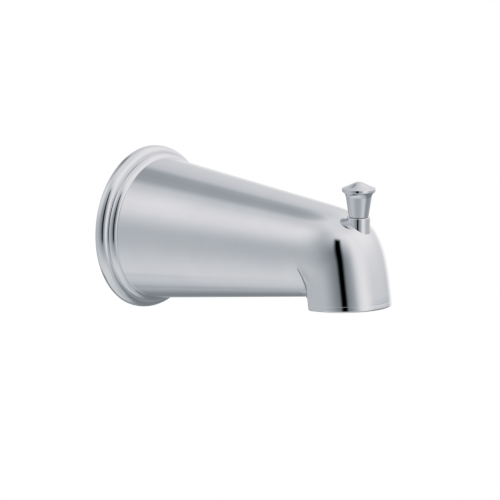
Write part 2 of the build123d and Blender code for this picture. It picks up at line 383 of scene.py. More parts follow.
@dataclass(frozen=True)
class Finish:
    """Finish of a surface: a broad mottle for its colour and gloss, and a fine grain for its relief.

    Attributes:
        name: real material and how its surface was made.
        light: lighter colour, sRGB hex.
        dark: darker colour, sRGB hex.
        metallic: 1 for a metal, 0 for a plastic or a rubber.
        rough: lowest and highest roughness.
        mottle: size of the mottle, mm.
        grain: size of the grain along X, Y and Z, mm.
        relief: depth of the grain, mm.
        sockets: further values that are the same all over the surface.
    """

    name: str
    light: str
    dark: str
    metallic: float
    rough: tuple[float, float]
    mottle: float
    grain: Triple
    relief: float
    sockets: tuple[tuple[str, float], ...] = ()

    def material(self) -> bpy.types.Material:
        """Makes the material once and gives the same one afterwards.

        Returns:
            The material.
        """
        known = bpy.data.materials.get(self.name)
        if known:
            return known
        material = bpy.data.materials.new(self.name)
        material.use_nodes = True
        tree = material.node_tree
        shader = tree.nodes["Principled BSDF"]
        shader.inputs["Metallic"].default_value = self.metallic
        for key, value in self.sockets:
            shader.inputs[key].default_value = value
        place = add(tree, "ShaderNodeTexCoord").outputs["Object"]
        broad = add(tree, "ShaderNodeTexNoise", {
            "Vector": place, "Scale": 1 / (self.mottle * MM), "Detail": MOTTLE_DETAIL})
        tone = add(tree, "ShaderNodeMapRange", {
            "Value": broad.outputs["Fac"], "From Min": NOISE_LOW, "From Max": NOISE_HIGH,
        }, interpolation_type="SMOOTHSTEP")
        colour = add(tree, "ShaderNodeMix", {
            FACTOR: tone.outputs[0], COLOUR_A: linear(self.dark), COLOUR_B: linear(self.light),
        }, data_type="RGBA")
        scale = tuple(1 / (size * MM) for size in self.grain)
        spread = add(tree, "ShaderNodeMapping", {"Vector": place, "Scale": scale})
        fine = add(tree, "ShaderNodeTexNoise", {
            "Vector": spread.outputs[0], "Scale": 1.0, "Detail": GRAIN_DETAIL})
        both = add(tree, "ShaderNodeMath", {0: tone.outputs[0], 1: fine.outputs["Fac"]}, operation="MULTIPLY")
        gloss = add(tree, "ShaderNodeMapRange", {
            "Value": both.outputs[0], "From Max": NOISE_HIGH,
            "To Min": self.rough[0], "To Max": self.rough[1]})
        bump = add(tree, "ShaderNodeBump", {
            "Height": fine.outputs["Fac"], "Strength": 1.0, "Distance": self.relief * MM})
        tree.links.new(colour.outputs[MIXED_COLOUR], shader.inputs["Base Color"])
        tree.links.new(gloss.outputs[0], shader.inputs["Roughness"])
        tree.links.new(bump.outputs[0], shader.inputs["Normal"])
        return material


# Bright plate on a buffed casting: a clear mirror, with a trace of the buffing's waviness.
POLISHED_CHROME = Finish(
    "polished chrome plate", "#E2E5E8", "#DCDFE3", metallic=1.0, rough=(0.02, 0.045), mottle=30.0,
    grain=(9.0, 9.0, 9.0), relief=0.002)
# Zinc as it left the die, with flash plating only: dull grey, finely pitted.
CAST_ZINC = Finish(
    "zinc die casting, as cast", "#A5A7AA", "#85878B", metallic=1.0, rough=(0.34, 0.52), mottle=8.0,
    grain=(0.7, 0.7, 0.7), relief=0.05)
# Bar brass off the lathe: tool rings across the axis, tarnished in patches.
TURNED_BRASS = Finish(
    "brass, turned", "#D6B56C", "#B08C4A", metallic=1.0, rough=(0.2, 0.36), mottle=6.0,
    grain=(40.0, 0.35, 40.0), relief=0.012)
# Drawn rod, centreless ground: fine rings that blur the reflection along the rod.
GROUND_STEEL = Finish(
    "stainless steel, ground", "#C9C9C7", "#B4B4B2", metallic=1.0, rough=(0.16, 0.28), mottle=5.0,
    grain=(30.0, 30.0, 0.25), relief=0.004)
# Milky engineering plastic: soft light inside, faintly grained by the mould.
MOULDED_ACETAL = Finish(
    "acetal, moulded", "#EDEAE1", "#E2DED2", metallic=0.0, rough=(0.38, 0.5), mottle=7.0,
    grain=(0.5, 0.5, 0.5), relief=0.01,
    sockets=(("Subsurface Weight", 0.12), ("Subsurface Scale", 0.003), ("IOR", 1.48)))
# Black seal rubber: matt, with the grey bloom of the moulding.
NITRILE = Finish(
    "nitrile rubber, moulded", "#26272A", "#141416", metallic=0.0, rough=(0.5, 0.66), mottle=3.0,
    grain=(0.4, 0.4, 0.4), relief=0.012, sockets=(("IOR", 1.52),))


# The object


@dataclass
class SpoutBody:
    """Chrome-plated skin of the casting: ringed flange, tapered body, creased elbow, nose with flat cheeks.

    It is built from runs of sections. A section is a row (out, up, lean, across, below, above, rise): its
    middle, its plane's lean from upright, its half width, how far it reaches below and above its middle, and
    how far the middle is raised at the side line. Angles among the sizes are degrees.
    """

    # Reach from the wall to the nose's front, and thickness of the casting.
    reach: float = 140.0
    wall: float = 2.5
    # Ring and bead of the flange.
    flange_radius: float = 38.0
    flange_depth: float = 5.35
    flange_round: float = 4.05
    flange_step: float = 3.2
    bead_land: float = 0.8
    bead_round: float = 3.6
    bead_fall: float = 3.75
    back_round: float = 0.8
    groove_round: float = 0.2
    small_round: float = 0.35
    # Tapered body, and the elbow with its crease below and its rounded crown above.
    root_radius: float = 34.0
    body_taper: float = 6.85
    crease_round: float = 1.2
    crease_power: float = 80.0
    crown_power: float = 4.7
    width_blend: float = 0.5
    # Nose, outlet lip, and the fine line round the nose above the lip.
    nose_radius: float = 19.4
    nose_lean: float = 8.0
    outlet_drop: float = 24.3
    outlet_tilt: float = 2.6
    lip_round: float = 0.8
    lip_inset: float = 0.1
    line_above: float = 2.5
    line_half: float = 0.4
    line_deep: float = 0.05
    # Back edge of the cheeks: its place, how it slants and bends, and how sharply the cheek turns in there.
    cheek_depth: float = 8.1
    cheek_foot: float = -14.0
    cheek_slope: float = 0.2
    cheek_bend: float = 0.002
    cheek_turn: float = 1.235
    cheek_round: float = 0.4
    cheek_meet: float = 0.95
    # Lean by which the cheeks have begun, leans between which the elbow becomes the nose, and turns at which
    # the cheeks start, are full, and start to fade, in the elbow and in the nose.
    cheek_begun: float = 8.0
    nose_leans: tuple[float, float] = (45.0, 80.0)
    elbow_turns: tuple[float, ...] = (25.0, 45.0, 72.0)
    nose_turns: tuple[float, ...] = (3.0, 12.0, 86.0)
    # Columns round a section, closer together about the cheeks' edge.
    columns: int = 192
    close_turn: float = 68.0
    close_spread: float = 9.0
    close_gain: float = 3.0
    turn_steps: int = 7200
    # Sections of each run, the share of them in the inside and in the trimming solid, and points of curves.
    cone_rows: int = 70
    elbow_rows: int = 130
    nose_rows: int = 16
    throat_rows: int = 5
    row_gap: float = 1.0
    inside_detail: float = 0.45
    trim_detail: float = 0.6
    lip_steps: int = 10
    line_steps: int = 9
    ring_steps: int = 4000
    ring_every: int = 90

    def __post_init__(self) -> None:
        """Works out the bead's place, the crease pivot and the turns of the columns.

        The pivot is where the body's underside and the nose's back meet. The columns stand at equal shares of
        the running sum of 1 + gain * exp(-(angle from the cheeks' edge / spread)**2).
        """
        self.taper = np.tan(np.radians(self.body_taper))
        self.bead_radius = self.flange_radius - self.flange_step
        self.bead_start = self.flange_depth + self.bead_land
        self.bead_end = self.bead_start + self.bead_round
        lean, tilt = np.radians(self.nose_lean), np.radians(self.outlet_tilt)
        self.outlet_out = self.reach - self.nose_radius
        heel_out = self.outlet_out - self.nose_radius * np.cos(tilt)
        heel_up = -self.outlet_drop - self.nose_radius * np.sin(tilt)
        drop = self.crease_round / np.cos(np.radians(self.body_taper))
        self.pivot_out = (
            heel_out * np.cos(lean) + (self.root_radius + drop + heel_up) * np.sin(lean) - self.crease_round
        ) / (np.cos(lean) + self.taper * np.sin(lean))
        self.pivot_up = self.taper * self.pivot_out - self.root_radius - drop
        self.to_top = (self.cone_radius(self.pivot_out) - self.pivot_up) * np.cos(np.radians(self.body_taper))
        self.to_front = self.crease_round + 2 * self.nose_radius
        fine = np.linspace(0, 2 * np.pi, self.turn_steps + 1)
        apart = (from_lowest(fine) - self.close_turn) / self.close_spread
        dense = 1 + self.close_gain * np.exp(-(apart**2))
        sums = np.concatenate([[0], np.cumsum((dense[1:] + dense[:-1]) / 2)])
        self.turn = np.interp(np.arange(self.columns) / self.columns * sums[-1], sums, fine)

    def cone_radius(self, out: Number) -> Number:
        """Outside radius of the tapered body at a distance from the wall."""
        return self.root_radius - self.taper * out

    def crown(self, angle: Number, power: float) -> Number:
        """Distance from the pivot to the outer outline: (top**-power + front**-power)**(-1 / power).

        Args:
            angle: lean of the section's plane, in degrees.
            power: how closely the blend follows the top line and the front line.

        Returns:
            The distance at each angle.
        """
        top = self.to_top / np.cos(np.radians(angle - self.body_taper))
        front = self.to_front / np.cos(np.radians(angle - RIGHT_ANGLE + self.nose_lean))
        return (top**-power + front**-power) ** (-1 / power)

    def half_width(self, near: np.ndarray, far: np.ndarray) -> np.ndarray:
        """Half width of a slanted section: the cone's own or the nose radius, the larger, blended."""
        own = np.sqrt(np.maximum(self.cone_radius(near) * self.cone_radius(far), 0))
        return (own + self.nose_radius + np.hypot(own - self.nose_radius, self.width_blend)) / 2

    @staticmethod
    def upright_run(out: np.ndarray, radius: np.ndarray) -> np.ndarray:
        """Upright round sections about the pipe axis."""
        none = 0 * radius
        return np.stack([out, none, none, radius, radius, radius, none], axis=1)

    def cone_run(self, start: float, count: int) -> np.ndarray:
        """Sections of the cone by planes that fan from upright to the elbow's first plane.

        A slanted cut through a cone is an ellipse between its lowest and highest point.

        Args:
            start: where the run starts, from the wall.
            count: number of sections.

        Returns:
            Table of sections.
        """
        first = np.radians(-self.body_taper)
        share = np.linspace(0, 1, count)
        tall = self.crown(-self.body_taper, self.crown_power)
        low = start + share * (self.pivot_out + self.crease_round * np.sin(first) - start)
        high = start + share * (self.pivot_out + tall * np.sin(first) - start)
        low_up, high_up = -self.cone_radius(low), self.cone_radius(high)
        half = np.hypot(high - low, high_up - low_up) / 2
        lean = np.arctan2(high - low, high_up - low_up)
        across = self.half_width(low, high)
        out, up = (low + high) / 2, (low_up + high_up) / 2
        return np.stack([out, up, lean, across, half, half, 0 * half], axis=1)

    def elbow_run(self, count: int) -> np.ndarray:
        """Sections of the elbow on planes turned about the pivot.

        The underside follows the sharp mitre, so the crease stays crisp. From the side line up, the sections
        are raised to the rounded crown.

        Args:
            count: number of sections.

        Returns:
            Table of sections.
        """
        angle = np.linspace(-self.body_taper, RIGHT_ANGLE - self.nose_lean, count)
        turn = np.radians(angle)
        middle, soft = ((self.crown(angle, power) + self.crease_round) / 2
                        for power in (self.crease_power, self.crown_power))
        far = self.pivot_out + self.to_top / np.cos(np.radians(angle - self.body_taper)) * np.sin(turn)
        across = self.half_width(self.pivot_out + self.crease_round * np.sin(turn), far)
        return np.stack([
            self.pivot_out + middle * np.sin(turn), self.pivot_up + middle * np.cos(turn), turn, across,
            middle - self.crease_round, self.crown(angle, self.crown_power) - middle, soft - middle,
        ], axis=1)

    def nose_run(self, below: Number, inset: Number) -> np.ndarray:
        """Sections of the nose on the outlet's tilt. A tilted cut is longer by 1 / cos(lean - tilt).

        Args:
            below: depth of each section below the outlet, along the nose.
            inset: how far each section is set in from the outside.

        Returns:
            Table of sections.
        """
        lean, tilt = np.radians(self.nose_lean), np.radians(self.outlet_tilt)
        below, inset = np.broadcast_arrays(np.atleast_1d(below), np.atleast_1d(inset))
        deep = self.nose_radius / np.cos(lean - tilt) - inset
        return np.stack([
            self.outlet_out + below * np.sin(lean), -self.outlet_drop - below * np.cos(lean),
            0 * below + QUARTER - tilt, self.nose_radius - inset, deep, deep, 0 * below,
        ], axis=1)

    def rings(self, runs: list[np.ndarray]) -> np.ndarray:
        """Points round every section: an ellipse whose height passes smoothly from below to above.

        Its middle is raised on the way from the lowest point to the side line.

        Args:
            runs: tables of sections, in order.

        Returns:
            Grid of points, section by turn.
        """
        out, up, lean, across, below, above, rise = np.concatenate(runs).T[:, :, None]
        turn = self.turn[None]
        height = (1 - np.cos(turn)) / 2
        rise = rise * smooth(2 * height)
        along = rise - np.cos(turn) * (below + rise + (above - below - 2 * rise) * smooth(height))
        return np.stack([
            across * np.sin(turn), -(out + along * np.sin(lean)), up + along * np.cos(lean)
        ], axis=-1)

    def cheeks(self, points: np.ndarray, lean: np.ndarray) -> np.ndarray:
        """Width that the underside gains where the nose has flat cheeks with a crisp back edge.

        The half width is that of the cone, sqrt(radius(out)**2 - up**2), or of the cheek, the larger. The
        cheek runs straight back from the nose's axis and turns in at its edge, across - turn * round *
        ln(1 + exp((behind - edge) / round)), until it meets the nose's circle. The edge lies depth +
        slope * h + bend * h**3 behind the axis, h above the foot. Shares of the turn fade the cheek into the
        crease below and the side line above.

        Args:
            points: grid of the elbow and the nose, section by turn.
            lean: lean of each section.

        Returns:
            What to add to each point's x.
        """
        angle = np.degrees(lean)[:, None]
        begun = smooth(angle, -self.body_taper, self.cheek_begun)
        nose = smooth(angle, *self.nose_leans)
        start, full, fade = (a + (b - a) * nose for a, b in zip(self.elbow_turns, self.nose_turns))
        turn = from_lowest(self.turn)
        share = begun * smooth(turn, start, full) * (1 - smooth(turn, fade, RIGHT_ANGLE))
        across, out, up = points[..., 0], -points[..., 1], points[..., 2]
        half = np.abs(across).max(axis=1, keepdims=True)
        slope = np.radians(self.nose_lean)
        behind = (self.outlet_out - out) * np.cos(slope) - (up + self.outlet_drop) * np.sin(slope)
        lift = np.maximum(up - self.cheek_foot, 0)
        edge = self.cheek_depth + self.cheek_slope * lift + self.cheek_bend * lift**3
        turn_in = self.cheek_round * np.logaddexp(0, (behind - edge) / self.cheek_round)
        cheek = half - self.cheek_turn * turn_in
        circle = half * np.sqrt(np.maximum(1 - (behind / self.nose_radius) ** 2, 0))
        cheek = np.where(behind > self.cheek_meet * self.nose_radius, np.minimum(cheek, circle), cheek)
        cone = np.sqrt(np.maximum(self.cone_radius(out) ** 2 - up**2, 0))
        return share * (np.sign(across) * np.maximum(cone, cheek) - across)

    def outline_runs(self, inset: float, start: float, detail: float) -> list[np.ndarray]:
        """Body, elbow and nose, set in from the outside, down to just above the line round the nose.

        Args:
            inset: distance in from the outside.
            start: where the run starts, from the wall.
            detail: share of the full number of sections.

        Returns:
            The three tables of sections.
        """
        shrink = np.array([0, 0, 0, inset, inset, inset, 0])
        cone = self.cone_run(start, int(self.cone_rows * detail)) - shrink
        elbow = self.elbow_run(int(self.elbow_rows * detail)) - shrink
        line = self.nose_run(-self.line_above - 2 * self.line_half, inset)
        share = np.linspace(0, 1, self.nose_rows)[1:-1, None]
        return [cone, elbow[1:], elbow[-1] + share * (line - elbow[-1])]

    def flange_profile(self) -> np.ndarray:
        """Half section from the mouth round the flange's ring and bead to the body.

        Ring and bead are quarter ellipses, (out + deep * sin t, radius - fall * (1 - cos t)); the bead stops
        where it meets the cone.

        Returns:
            (out, radius) rows.
        """
        quarter = np.linspace(0, QUARTER, self.ring_steps)

        def ellipse(out: float, radius: float, deep: float, fall: float) -> np.ndarray:
            """Points of a quarter ellipse from its highest point."""
            return np.stack([out + deep * np.sin(quarter), radius - fall * (1 - np.cos(quarter))], axis=1)

        ring_start = self.flange_depth - self.flange_round
        ring = ellipse(ring_start, self.flange_radius, self.flange_round, self.flange_step)
        bead = ellipse(self.bead_start, self.bead_radius, self.bead_round, self.bead_fall)
        bead = bead[bead[:, 1] > self.cone_radius(bead[:, 0])]
        groove, joint = np.array([self.flange_depth, self.bead_radius]), bead[-1]
        ring = ring[ring[:, 1] > groove[1] + 2 * self.groove_round][::self.ring_every]
        bead = bead[np.linalg.norm(bead - joint, axis=1) > 2 * self.small_round][::self.ring_every]
        mouth = (self.row_gap, self.cone_radius(self.row_gap) - self.wall, 0)
        body = joint[0] + self.row_gap
        return np.concatenate([
            rounded([mouth, (0, self.cone_radius(0) - self.wall, self.small_round),
                     (0, self.flange_radius, self.back_round), (*ring[0], 0)], closed=False),
            ring[1:-1],
            rounded([(*ring[-1], 0), (*groove, self.groove_round), (*bead[0], 0)], closed=False),
            bead[1:-1],
            rounded([(*bead[-1], 0), (*joint, self.small_round), (body, self.cone_radius(body), 0)],
                    closed=False),
        ])

    def lip_runs(self) -> list[np.ndarray]:
        """Line round the nose, outer round, flat and inner round of the lip, from the outside in.

        The line is a groove, deep * (1 + cos(pi * w)) / 2 for w from -1 to 1 across it.

        Returns:
            The four tables of sections.
        """
        quarter = np.linspace(0, QUARTER, self.lip_steps)
        wave = np.linspace(-1, 1, self.line_steps)
        large, small = self.lip_round, self.small_round
        edge = self.wall - small
        return [
            self.nose_run(self.line_half * wave - self.line_above,
                          self.line_deep * (1 + np.cos(np.pi * wave)) / 2),
            self.nose_run(large * (np.sin(quarter) - 1), large * (1 - np.cos(quarter))),
            self.nose_run(0, np.array([large + self.lip_inset, edge - self.lip_inset])),
            self.nose_run(small * (np.cos(quarter) - 1), edge + small * np.sin(quarter)),
        ]

    def shell_mesh(self) -> bpy.types.Mesh:
        """Plated skin as one closed grid, from the back ring over the outside and back up the inside.

        The cheeks' width runs on over the lip and fades out across its wall.

        Returns:
            The mesh, with its inside on the second material.
        """
        out, radius = self.flange_profile().T
        flange = self.upright_run(out, radius)
        outside = self.outline_runs(0, out[-1] + self.row_gap, 1)
        lip = self.lip_runs()
        inside = np.concatenate(self.outline_runs(self.wall, self.bead_end, self.inside_detail))[::-1]
        mouth = np.linspace(self.bead_end - self.row_gap, 2 * self.row_gap, self.throat_rows)
        throat = self.upright_run(mouth, self.cone_radius(mouth) - self.wall)
        grid = self.rings([flange, *outside, *lip, inside, throat])
        first = len(flange) + len(outside[0])
        lean = np.concatenate(outside[1:])[:, LEAN]
        last = first + len(lean)
        wider = self.cheeks(grid[first:last], lean)
        grid[first:last, :, 0] += wider
        set_in = self.nose_radius - np.concatenate(lip)[:, ACROSS]
        grid[last:last + len(set_in), :, 0] += wider[-1] * (1 - set_in / self.wall)[:, None]
        return mesh_of("spout_shell", grid, closed_rows=True, inner_rows=len(inside) + len(throat))

    def mid_wall(self) -> bpy.types.Mesh:
        """Closed solid that ends halfway through the wall, to trim what is cast inside.

        Returns:
            The mesh.
        """
        runs = self.outline_runs(self.wall / 2, 0, self.trim_detail)
        end = self.nose_run(self.wall, self.wall / 2)
        points = self.rings([*runs, end])
        middle = points[[0, -1]].mean(axis=1, keepdims=True) + 0 * points[[0, -1]]
        return mesh_of("mid_wall", np.concatenate([middle[:1], points, middle[1:]]))


@dataclass
class Waterway:
    """What is cast inside the body: socket, tube, ribs, bulkhead, valve seat, gate rails and gland boss."""

    body: SpoutBody
    # Socket for the bushing, the tube behind it and its bore.
    bushing_radius: float = 13.25
    socket_setback: float = 10.5
    socket_floor: float = 25.5
    socket_radius: float = 17.0
    socket_end: float = 30.5
    socket_edge: float = 0.8
    socket_round: float = 2.0
    tube_start: float = 38.5
    tube_radius: float = 11.0
    tube_round: float = 3.0
    bore_radius: float = 8.0
    bore_end: float = 115.0
    # Ribs and bulkhead.
    rib_start: float = 13.5
    rib_half: float = 1.5
    rib_edge: float = 0.6
    rib_turns: tuple[float, float] = (45.0, -45.0)
    bulkhead_out: float = 90.03
    bulkhead_thickness: float = 3.0
    # Valve seat with its port, and the rails that guide the gate.
    seat_out: float = 121.4
    seat_thickness: float = 3.2
    seat_overlap: float = 0.5
    port_radius: float = 5.5
    channel_half: float = 10.2
    channel_depth: float = 5.7
    window_half: float = 7.0
    rail_depth: float = 8.95
    gate_gap: float = 0.2
    gate_neck: float = 0.5
    # Boss for the gland, the seal and the rod.
    boss_radius: float = 6.8
    boss_floor: float = 1.4
    stem_radius: float = 1.95
    ring_radius: float = 3.65
    gland_pocket: float = 5.25

    def __post_init__(self) -> None:
        """Takes the diverter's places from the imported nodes."""
        gate_foot, gate_head = heights("gate")
        self.rod_out = sum(outs("lift_rod")) / 2
        self.gland_foot, self.ring_foot = heights("stem_gland")[0], heights("stem_o_ring")[0]
        self.boss_foot = self.ring_foot - self.boss_floor
        self.rail_foot = gate_foot - self.gate_gap
        self.rail_top = self.boss_foot - self.gate_gap - self.gate_neck
        self.port_up = self.rail_top - (gate_head - self.gate_neck - gate_foot) / 2

    def cylinder(self, radius: float, low: float, high: float, way: Way, up: float = 0.0) -> bpy.types.Mesh:
        """Closed cylinder along the pipe axis at a height, or along the rod.

        Args:
            radius: its radius.
            low: where it starts on its axis.
            high: where it ends on its axis.
            way: direction of its axis.
            up: height of an axis that points out.

        Returns:
            The mesh.
        """
        corners = [(0, low, 0), (radius, low, 0), (radius, high, 0), (0, high, 0)]
        profile = rounded(corners, closed=False, steps=2)
        origin = (0, 0, up) if way is Way.OUT else (0, -self.rod_out, 0)
        return turned("cylinder", profile, way, origin)

    def block(self, half: float, foot: float, top: float, low: float, high: float) -> bpy.types.Mesh:
        """Closed block across the spout, between two heights and two distances from the wall."""
        middle = (foot + top) / 2
        return mesh_of("block", slab(half, (top - foot) / 2, low, high, Way.OUT, (0, 0, middle)))

    def rib_mesh(self, angle: float) -> bpy.types.Mesh:
        """Rib plate through the pipe axis.

        Args:
            angle: turn about the axis, in degrees.

        Returns:
            The mesh.
        """
        points = slab(self.body.flange_radius, self.rib_half, self.rib_start, self.bulkhead_out + OVERRUN,
                      Way.OUT, (0, 0, 0), edge=self.rib_edge)
        c, s = np.cos(np.radians(angle)), np.sin(np.radians(angle))
        return mesh_of("rib", points @ np.array([[c, 0, s], [0, 1, 0], [-s, 0, c]]))

    def rails_mesh(self, far: float) -> bpy.types.Mesh:
        """Pair of rails: a block with the gate's channel and the water's window cut through it.

        Args:
            far: a height above the spout.

        Returns:
            The mesh.
        """
        end, foot = self.seat_out + self.rail_depth, self.rail_foot - OVERRUN
        block = self.block(2 * self.body.nose_radius, self.rail_foot, self.rail_top,
                           self.seat_out - self.seat_overlap, end)
        channel = self.block(self.channel_half, foot, far, self.seat_out, self.seat_out + self.channel_depth)
        window = self.block(self.window_half, foot, far, self.seat_out, end + OVERRUN)
        return combined(block, [(Cut.TAKE, channel), (Cut.TAKE, window)])

    def core_mesh(self) -> bpy.types.Mesh:
        """Joins the cast forms, trims them inside the wall and takes away the bores.

        Returns:
            The mesh of the inner casting.
        """
        far = 2 * self.body.flange_radius
        seat_back = self.seat_out - self.seat_thickness
        bulkhead_front = self.bulkhead_out + self.bulkhead_thickness
        tube = rounded([
            (0, self.socket_setback, 0), (self.socket_radius, self.socket_setback, self.socket_edge),
            (self.socket_radius, self.socket_end, self.socket_round),
            (self.tube_radius, self.tube_start, self.tube_round),
            (self.tube_radius, self.seat_out, 0), (0, self.seat_out, 0),
        ], closed=False)
        core = turned("waterway_casting", tube, Way.OUT, (0, 0, 0))
        joined = [
            *(self.rib_mesh(turn) for turn in self.rib_turns),
            self.cylinder(self.body.flange_radius, self.bulkhead_out, bulkhead_front, Way.OUT),
            self.block(far, self.rail_foot, far, seat_back, self.seat_out),
            self.rails_mesh(far),
            self.cylinder(self.boss_radius, self.boss_foot, far, Way.UP),
        ]
        bores = [
            self.cylinder(self.bushing_radius, self.socket_setback - OVERRUN, self.socket_floor, Way.OUT),
            self.cylinder(self.bore_radius, self.socket_floor - OVERRUN, self.bore_end, Way.OUT),
            self.cylinder(self.port_radius, self.bore_end - self.seat_thickness, self.seat_out + OVERRUN,
                          Way.OUT, self.port_up),
            self.cylinder(self.stem_radius, self.boss_foot - OVERRUN, far, Way.UP),
            self.cylinder(self.ring_radius, self.ring_foot, far, Way.UP),
            self.cylinder(self.gland_pocket, self.gland_foot, far + OVERRUN, Way.UP),
        ]
        return combined(core, [
            *((Cut.JOIN, mesh) for mesh in joined), (Cut.KEEP, self.body.mid_wall()),
            *((Cut.TAKE, mesh) for mesh in bores),
        ])

    def dress(self) -> None:
        """Builds the plated shell, bored for the gland, and the casting inside it."""
        pocket = self.cylinder(self.gland_pocket, self.gland_foot, 2 * self.body.flange_radius, Way.UP)
        skin = combined(self.body.shell_mesh(), [(Cut.TAKE, pocket)])
        piece("spout_shell", skin, Body.SPOUT, Slot.CHROME, "spout_body", POLISHED_CHROME, CAST_ZINC)
        piece("waterway_casting", self.core_mesh(), Body.SPOUT, Slot.CHROME, "spout_body", CAST_ZINC)


@dataclass
class Inlet:
    """Brass bushing in the socket: hexagon head to the wall, female pipe thread inside."""

    hex_flats: float = 28.0
    head: float = 4.5
    head_chamfer: float = 1.6
    face_radius: float = 13.6
    barrel_radius: float = 13.2
    barrel_chamfer: float = 0.8
    thread_crest: float = 9.3
    thread_depth: float = 1.05
    thread_pitch: float = 1.814
    thread_flat: float = 0.1
    countersink: float = 1.6
    columns: int = 96
    head_rows: int = 14
    bore_rows: int = 140

    def bushing_mesh(self) -> bpy.types.Mesh:
        """Bushing as one closed grid of radii over distance from the wall and turn.

        The head's radius is the lesser of a hexagon, flats / 2 / cos(angle from the flat's middle), and a
        cone of 30 degrees. The thread's radius is the crest plus its depth times a cut-off triangle wave of
        the distance in pitches less the turn. At the mouth a cone of 45 degrees opens it.

        Returns:
            The mesh.
        """
        back, front = outs("inlet_bushing")
        turn = np.linspace(0, 2 * np.pi, self.columns, endpoint=False)[None]
        hexagon = self.hex_flats / 2 / np.cos((turn % (np.pi / 3)) - np.pi / 6)
        even = 0 * hexagon
        seat = back + self.head
        slope = np.linspace(0, self.head_chamfer, self.head_rows)[:, None]
        head = np.minimum(self.face_radius + slope * np.sqrt(3), hexagon)
        tail = np.array([[seat, self.barrel_radius], [front - self.barrel_chamfer, self.barrel_radius],
                         [front, self.barrel_radius - self.barrel_chamfer]])
        out = np.linspace(front, back, self.bore_rows)[:, None]
        phase = (out / self.thread_pitch - turn / (2 * np.pi)) % 1
        flat = self.thread_flat
        wave = np.clip((1 - np.abs(2 * phase - 1) - flat) / (1 - 2 * flat), 0, 1)
        bore = np.maximum(self.thread_crest + self.thread_depth * wave,
                          self.thread_crest + self.countersink - (out - back))
        radius = np.concatenate([head, hexagon, tail[:, 1:] + even, bore])
        along = np.concatenate([back + slope + even, seat + even, tail[:, :1] + even, out + even])
        points = np.stack([radius * np.cos(turn), -along, radius * np.sin(turn)], axis=-1)
        return mesh_of("pipe_bushing", points, closed_rows=True)

    def dress(self) -> None:
        """Builds the bushing in turned brass."""
        piece("pipe_bushing", self.bushing_mesh(), Body.SPOUT, Slot.BRASS, "inlet_bushing", TURNED_BRASS)


@dataclass
class StemSeal:
    """Chrome gland collar on the sloping nose and the rubber ring trapped under it."""

    rod_out: float
    bore_radius: float = 1.8
    bore_round: float = 0.1
    mouth_round: float = 0.15
    foot_round: float = 0.2
    collar_radius: float = 5.2
    collar_round: float = 0.45
    collar_columns: int = 128
    ring_section: float = 0.9
    ring_steps: int = 24
    ring_columns: int = 64

    def dress(self) -> None:
        """Builds the collar and the ring, both turned about the rod."""
        origin = (0, -self.rod_out, 0)
        foot, top = heights("stem_gland")
        collar = rounded([
            (self.bore_radius, foot, self.bore_round), (self.collar_radius, foot, self.foot_round),
            (self.collar_radius, top, self.collar_round), (self.bore_radius, top, self.mouth_round),
        ])
        gland = turned("gland_collar", collar, Way.UP, origin, self.collar_columns, closed=True)
        piece("gland_collar", gland, Body.SPOUT, Slot.CHROME, "stem_gland", POLISHED_CHROME)
        turn = np.linspace(0, 2 * np.pi, self.ring_steps, endpoint=False)
        middle = heights("stem_o_ring")[0] + self.ring_section
        circle = self.ring_section * np.stack([1 + np.cos(turn), np.sin(turn)], axis=1)
        section = circle + (self.bore_radius, middle)
        ring = turned("stem_seal", section, Way.UP, origin, self.ring_columns, closed=True)
        piece("stem_seal", ring, Body.SPOUT, Slot.RUBBER, "stem_o_ring", NITRILE)


